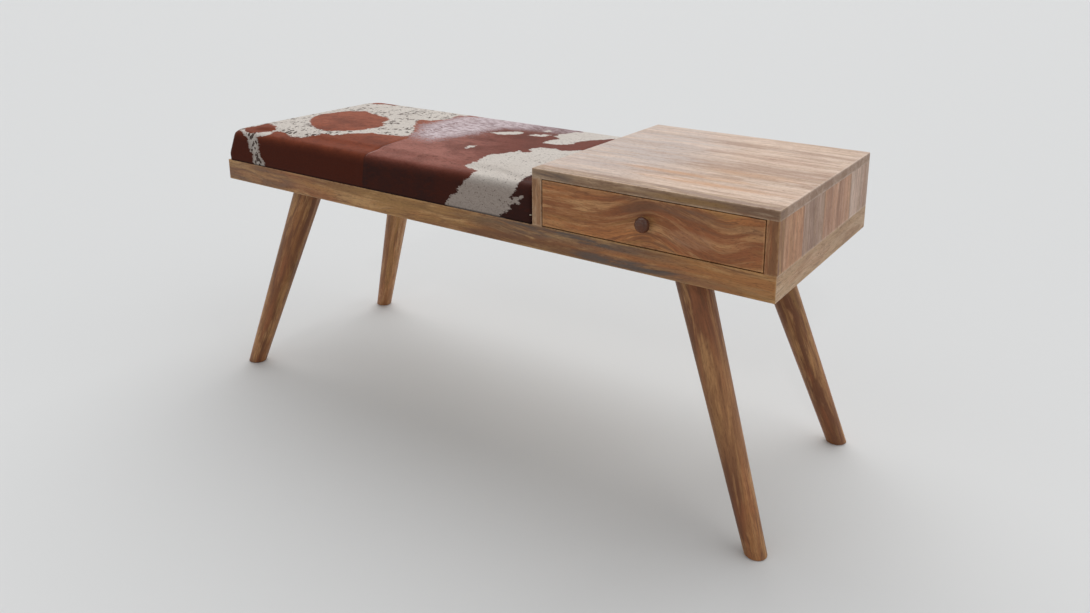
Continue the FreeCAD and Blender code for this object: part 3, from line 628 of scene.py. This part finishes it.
def inside(points, outline):
    """How far inside a closed outline each point lies, negative outside it."""
    corners = np.array(outline, float)
    following = np.roll(corners, -1, axis=0)
    nearest = np.full(len(points), 1e9)
    crossings = np.zeros(len(points), bool)
    for a, b in zip(corners, following):
        run = b - a
        share = np.clip(((points - a) @ run) / (run @ run), 0, 1)
        nearest = np.minimum(nearest, np.linalg.norm(points - (a + share[:, None] * run), axis=1))
        spans = (a[1] > points[:, 1]) != (b[1] > points[:, 1])
        with np.errstate(divide="ignore", invalid="ignore"):
            x = a[0] + (points[:, 1] - a[1]) * run[0] / run[1]
        crossings ^= spans & (points[:, 0] < x)
    return np.where(crossings, nearest, -nearest)


def join_bmesh(name, work):
    mesh = bpy.data.meshes.new(name)
    work.to_mesh(mesh)
    work.free()
    made = bpy.data.objects.new(name, mesh)
    bpy.context.scene.collection.objects.link(made)
    return made


def applied(obj):
    """Bakes the object's modifiers into its mesh."""
    graph = bpy.context.evaluated_depsgraph_get()
    mesh = bpy.data.meshes.new_from_object(obj.evaluated_get(graph), preserve_all_data_layers=True,
                                           depsgraph=graph)
    old = obj.data
    obj.modifiers.clear()
    obj.data = mesh
    bpy.data.meshes.remove(old)


def pad_skin():
    """The outer skin of the pad's form, closed, with spare length under its foot."""
    work = bmesh.new()
    work.from_mesh(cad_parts["seat_hide"].data)
    bmesh.ops.remove_doubles(work, verts=work.verts, dist=1e-6)
    inner = [f for f in work.faces if (f.calc_center_median() - PAD_MIDDLE).dot(f.normal) < 0]
    bmesh.ops.delete(work, geom=inner, context="FACES")
    foot = [v for v in work.verts if v.co.z < PAD_LOW.z + PAD_IN]
    bmesh.ops.translate(work, vec=(0, 0, -PAD_SPARE), verts=foot)
    bmesh.ops.holes_fill(work, edges=[e for e in work.edges if e.is_boundary], sides=0)
    bmesh.ops.recalc_face_normals(work, faces=work.faces)
    return work


def pad_blank(skin):
    """The pad before it is filled, a little small and evenly meshed."""
    pad = join_bmesh("seat_hide_pad", skin)
    remesh = pad.modifiers.new("even", "REMESH")
    remesh.mode = "VOXEL"
    remesh.voxel_size = PAD_VOXEL
    applied(pad)
    co, normals = points_of(pad)
    place_points(pad, co - normals * PAD_SHRINK)
    return pad


def points_of(obj):
    """The places and normals of a mesh's points."""
    places = np.array([v.co for v in obj.data.vertices])
    normals = np.array([v.normal for v in obj.data.vertices])
    return places, normals


def place_points(obj, places):
    obj.data.vertices.foreach_set("co", places.ravel())
    obj.data.update()


def fill_pad(pad):
    """Blows the pad up as cloth over foam, held where it is fixed at its foot."""
    rest, _ = points_of(pad)
    held = pad.vertex_groups.new(name="held")
    held.add([int(i) for i in np.flatnonzero(rest[:, 2] < PAD_LOW.z)], 1.0, "REPLACE")
    cloth = pad.modifiers.new("fill", "CLOTH")
    for name, value in PAD_CLOTH.items():
        setattr(cloth.settings, name, value)
    cloth.settings.vertex_group_mass = "held"
    cloth.settings.effector_weights.gravity = 0.0
    scene = bpy.context.scene
    scene.frame_start = 1
    scene.frame_end = PAD_FRAMES
    cloth.point_cache.frame_start = 1
    cloth.point_cache.frame_end = PAD_FRAMES
    for number in range(1, PAD_FRAMES + 1):
        scene.frame_set(number)
    applied(pad)
    scene.frame_set(1)
    swollen, _ = points_of(pad)
    step = swollen - rest
    size = np.linalg.norm(step, axis=1, keepdims=True)
    place_points(pad, rest + step * (PAD_CAP * np.tanh(size / PAD_CAP) / np.maximum(size, 1e-9)))


def make_pad():
    skin = pad_skin()
    form = BVHTree.FromBMesh(skin)
    pad = pad_blank(skin)
    fill_pad(pad)
    finer = pad.modifiers.new("finer", "SUBSURF")
    finer.levels = 1
    finer.render_levels = 1
    applied(pad)
    hold_pad(pad, form)
    soft = pad.modifiers.new("soft", "SMOOTH")
    soft.iterations = PAD_SOFT_ROUNDS
    applied(pad)
    hold_pad(pad, form, seam_relief(pad))
    cut_foot(pad)
    mark_hide(pad)
    pad.data.materials.clear()
    pad.data.materials.append(hide())
    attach(pad, "bench")
    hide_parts("seat_hide")


def seam_u(depth):
    """The seam's place from the pad's left end, this far from its front."""
    return SEAM_FRONT_U - SEAM_DRIFT * (depth / PAD_DEPTH) ** 3


def seam_relief(pad):
    """How far the hide rises: slow waves all over, and a groove along the sewn seam."""
    co, _ = points_of(pad)
    wave = np.array([noise.noise(Vector(place) * 11.0) for place in co])
    apart = np.abs((co[:, 0] - PAD_LOW.x) / MM - seam_u((co[:, 1] - PAD_LOW.y) / MM))
    groove = SEAM_DEPTH * np.exp(-(apart / SEAM_HALF) ** 2)
    swell = 0.25 * SEAM_DEPTH * np.exp(-((apart - 3.2 * SEAM_HALF) / (2 * SEAM_HALF)) ** 2)
    return PAD_WAVE * wave + swell - groove


def hold_pad(pad, form, lifts=None):
    """Keeps the hide close round the foam, and flat against the box."""
    co, _ = points_of(pad)
    if lifts is None:
        lifts = np.zeros(len(co))
    held = []
    for place, lift in zip(co, lifts):
        place = Vector(place)
        nearest, outward, _, _ = form.find_nearest(place)
        proud = (place - nearest).dot(outward) + lift
        most = min(PAD_OUT, PAD_IN + PAD_FOOT_SLOPE * max(place.z - PAD_LOW.z, 0.0))
        held.append(nearest + outward * min(max(proud, -PAD_IN), most))
    co = np.array(held)
    co[:, 0] = np.minimum(co[:, 0], PAD_HIGH.x)
    place_points(pad, co)


def cut_foot(pad):
    """Cuts the pad off level where it sits on the rails."""
    work = bmesh.new()
    work.from_mesh(pad.data)
    everything = work.verts[:] + work.edges[:] + work.faces[:]
    bmesh.ops.bisect_plane(work, geom=everything, plane_co=PAD_LOW, plane_no=(0, 0, -1), clear_outer=True)
    for face in work.faces:
        face.smooth = True
    rim = [e for e in work.edges if e.is_boundary]
    for edge in rim:
        edge.smooth = False
    for face in bmesh.ops.holes_fill(work, edges=rim, sides=0)["faces"]:
        face.smooth = False
    bmesh.ops.recalc_face_normals(work, faces=work.faces)
    work.to_mesh(pad.data)
    work.free()


def mark_hide(pad):
    """Writes the hide's flat measures, the outlines of its patches and the outline of its painted sheen onto
    the mesh.
    """
    co, normals = points_of(pad)
    drop = (PAD_EDGE_TOP - np.minimum(co[:, 2], PAD_EDGE_TOP)) / MM
    u = (co[:, 0] - PAD_LOW.x) / MM - drop * np.clip(-normals[:, 0], 0, 1)
    v = (co[:, 1] - PAD_LOW.y) / MM + drop * (np.clip(normals[:, 1], 0, 1) - np.clip(-normals[:, 1], 0, 1))
    flat = np.stack([u, v], axis=1)
    beside = (co[:, 0] - PAD_LOW.x) / MM - seam_u((co[:, 1] - PAD_LOW.y) / MM)
    veined = inside(flat, VEINED)
    left = np.maximum(inside(flat, CREAM_LEFT), veined)
    for hole in (FRONT_CORNER_BROWN, BROWN_OVAL, BACK_SPOT, LEFT_END_BROWN):
        left = np.minimum(left, -inside(flat, hole))
    right = inside(flat, CREAM_RIGHT)
    for streak in STREAKS:
        right = np.maximum(right, inside(flat, streak))
    cream = np.where(beside < 0, left, right)
    tangled = np.clip(veined / 8, 0, 1)
    for name, values in (("cream", cream), ("painted_sheen", inside(flat, SHEEN_OUTLINE)), ("beside_seam", beside),
                         ("hide_v", v), ("tangled", tangled)):
        layer = pad.data.attributes.new(name, "FLOAT", "POINT")
        layer.data.foreach_set("value", np.clip(values, -400, 800).astype(np.float32))


def hide():
    """Natural cowhide with its short hair on: brown with speckled cream patches."""
    paint = Finish("cowhide")
    place = paint.place()
    cream = paint.attribute("cream")
    beside = paint.attribute("beside_seam")
    back = paint.attribute("hide_v")
    hair = paint.noise(paint.scaled(place, (240.0, 900.0, 700.0)), 2.0, 0.65)
    tuft = paint.noise(paint.scaled(place, (70.0, 170.0, 150.0)), 3.0, 0.65)
    cloud = paint.noise(paint.scaled(place, (14.0, 18.0, 18.0)), 3.0, 0.55)
    ragged = cream + (tuft - 0.5) * (paint.attribute("tangled") * 16.0 + 20.0) + (hair - 0.5) * 9.0
    pale = ragged.step(-1.0, 1.4)

    right = beside.step(-0.6, 0.6)
    # down is painted shade: the hide turns darker down the pad's front face, and the cream greyer.
    down = (back + (tuft - 0.5) * 10.0).step(16.0, -16.0)
    sunlit = (back + (cloud - 0.5) * 60.0).step(50.0, 130.0)
    left_brown = paint.mix(down, paint.mix(sunlit, CHESTNUT, CHESTNUT_PALE), CHESTNUT_DEEP)
    far = (back + (tuft - 0.5) * 40.0).step(-4.0, 44.0)
    # Further back on the right panel the plum turns paler: partly paler hair, partly painted sheen.
    pale_and_sheen = far * (beside + back * 0.8 + (tuft - 0.5) * 90.0 + (cloud - 0.5) * 160.0).step(350.0, 150.0)
    right_brown = paint.mix(down, paint.mix(pale_and_sheen, PLUM, PLUM_PALE), PLUM_DEEP)
    corner = beside.step(290.0, 320.0) * back.step(90.0, 50.0)
    right_brown = paint.mix(corner * 0.85, right_brown, PLUM_DEEP)
    brown = paint.mix(right, left_brown, right_brown)
    brown = paint.mix(cloud.step(0.42, 0.66) * 0.45, brown, CHESTNUT_DEEP)
    brown = paint.mix(tuft.step(0.50, 0.64) * 0.38, brown, CHESTNUT_DEEP)
    # Painted sheen: a pale lavender haze on the top behind the seam, where the light from behind is reflected.
    sheen = (paint.attribute("painted_sheen") + (tuft - 0.5) * 110.0 + (hair - 0.5) * 60.0).step(-14.0, 26.0)
    brown = paint.mix(sheen * 0.75, brown, PLUM_SHEEN_GREY)
    thin = beside.step(90.0, 200.0) * 0.45
    brown = paint.mix(sheen * ((tuft.step(0.60, 0.42) * 0.60 + 0.38) - thin), brown, SHEEN_WHITE)
    # Pale specks on the right panel's top: partly pale hairs, partly painted sheen on the hair.
    pale_hair_and_sheen = hair.step(0.52, 0.70) * far * right * (1 - down) * tuft.step(0.40, 0.62) * (pale_and_sheen * 0.7 + 0.3)
    brown = paint.mix(pale_hair_and_sheen * 0.55, brown, ROSE_GREY)

    warp = paint.noise(paint.scaled(place, (180.0, 180.0, 180.0)), 1.0, 0.5, "Color")
    specked = paint.shifted(paint.scaled(place, (125.0, 86.0, 120.0)), paint.scaled(warp, (1.1, 1.1, 1.1)))
    size = paint.noise(paint.scaled(place, (24.0, 24.0, 24.0)), 2.0, 0.5).step(0.30, 0.62)
    size = size * (1 - right * 0.62)
    thick = paint.attribute("tangled") * 0.30
    flecks = (paint.cells(specked) - size * 0.43 - thick).step(0.03, -0.04)
    fine = paint.noise(paint.scaled(place, (330.0, 240.0, 260.0)), 1.0, 0.5).step(0.66, 0.72) * 0.6
    cream_colour = paint.mix(down * (1 - paint.attribute("tangled") * 0.7), CREAM, CREAM_SHADE)
    cream_colour = paint.mix(cloud.step(0.4, 0.75) * 0.22, cream_colour, CREAM_DUSK)
    cream_colour = paint.mix(flecks.higher_of(fine) * 0.92, cream_colour, FLECK)
    colour = paint.mix(pale, brown, cream_colour)
    colour = paint.mix(hair.step(0.62, 0.30) * 0.34, colour, paint.mix(0.65, colour, HAIR_SHADOW))
    colour = paint.mix(abs(beside).step(1.8, 0.4) * 0.45, colour, PLUM_DEEP)
    # Painted highlight: a light line along the ridge beside the seam.
    seam_highlight = abs(beside - 2.8).step(2.2, 0.2) * (back + (tuft - 0.5) * 30.0).step(4.0, 30.0)
    colour = paint.mix(seam_highlight * 0.55, colour, SEAM_HIGHLIGHT)
    foot = paint.split(place)[2].step(PAD_LOW.z + 0.0045, PAD_LOW.z + 0.0010)
    colour = paint.mix(foot * 0.75, colour, FOOT_SHADOW)
    height = hair * 0.6 + tuft * 0.8
    return paint.surface({"Base Color": colour, "Roughness": hair * 0.18 + 0.52,
                          "Normal": paint.bump(height, 0.0007, 0.6), "Specular IOR Level": 0.04})


# Room, light and camera

FLOOR_REACH = 60.0
AMBIENT = (0.30, 0.303, 0.307)
FLOOR_SEEN = (0.710, 0.722, 0.729)
FLOOR_SPECK = (0.68, 0.692, 0.699)
FLOOR_BOUNCE = (0.46, 0.46, 0.46)
# Each sun: its name, the way to it, its strength, its width in degrees and its colour.
SUNS = (
    ("window_behind", (-0.30, 0.62, 1.0), 1.95, 70.0, (1.0, 0.99, 0.98)),
    ("fill_right", (1.0, 0.15, 0.75), 0.55, 60.0, (1.0, 0.98, 0.96)),
    ("window_glint", (0.30, -0.75, 0.55), 0.14, 5.0, (1.0, 0.99, 0.98)),
    ("fill_front", (-0.5, -1.0, 0.8), 0.24, 60.0, (1.0, 0.98, 0.95)),
)


def make_floor():
    paint = Finish("studio_floor")
    speck = paint.noise(paint.scaled(paint.place(), (30.0, 30.0, 30.0)), 2.0, 0.5)
    seen = paint.mix(speck * 0.04, FLOOR_SEEN, FLOOR_SPECK)
    colour = paint.mix(paint.seen(), FLOOR_BOUNCE, seen)
    material = paint.surface({"Base Color": colour, "Roughness": 0.9, "Specular IOR Level": 0.1})
    work = bmesh.new()
    bmesh.ops.create_grid(work, x_segments=1, y_segments=1, size=FLOOR_REACH)
    floor = join_bmesh("studio_floor", work)
    floor.data.materials.append(material)


def light_world():
    paint = Finish("studio", "worlds")
    bpy.context.scene.world = paint.block
    colour = paint.mix(paint.seen(), AMBIENT, BACKDROP)
    ground = paint.node("Background", None, {"Color": colour, "Strength": 1.0})
    paint.node("OutputWorld", None, {"Surface": ground}, None)


def light_suns():
    for name, towards, strength, spread, colour in SUNS:
        data = bpy.data.lights.new(name, "SUN")
        data.energy = strength
        data.angle = math.radians(spread)
        data.color = colour
        sun = bpy.data.objects.new(name, data)
        sun.rotation_mode = "QUATERNION"
        sun.rotation_quaternion = Vector(towards).to_track_quat("Z", "Y")
        bpy.context.scene.collection.objects.link(sun)


def make_camera():
    data = bpy.data.cameras.new("camera")
    data.sensor_width = SENSOR_WIDTH
    data.lens = FOCAL_PIXELS * SENSOR_WIDTH / PICTURE_WIDTH
    data.shift_x = (PICTURE_WIDTH / 2 - LENS_CENTRE_X) / PICTURE_WIDTH
    data.shift_y = (LENS_CENTRE_Y - PICTURE_HEIGHT / 2) / PICTURE_WIDTH
    camera = bpy.data.objects.new("camera", data)
    level = Vector((-math.sin(CAMERA_HEADING), math.cos(CAMERA_HEADING), 0.0))
    forward = level * math.cos(CAMERA_TILT) - Vector((0.0, 0.0, math.sin(CAMERA_TILT)))
    camera.location = CAMERA_PLACE
    camera.rotation_mode = "QUATERNION"
    camera.rotation_quaternion = forward.to_track_quat("-Z", "Y") @ Quaternion((0, 0, 1), CAMERA_ROLL)
    bpy.context.scene.collection.objects.link(camera)
    bpy.context.scene.camera = camera


make_camera()
dress_rails()
dress_legs()
dress_box()
dress_drawer()
dress_inner()
for number, node in enumerate(("base_board", "seat_board", "drawer_bottom"), start=1):
    dress(node, plywood(f"plywood_{node}", number))
fasteners = steel()
for node in ("leg_bolts", "leg_washers", "leg_nuts", "base_screws", "seat_screws", "knob_screw"):
    dress(node, fasteners)
dress("seat_foam", foam())
make_pad()
make_floor()
light_world()
light_suns()
bpy.context.scene.view_settings.view_transform = "Standard"
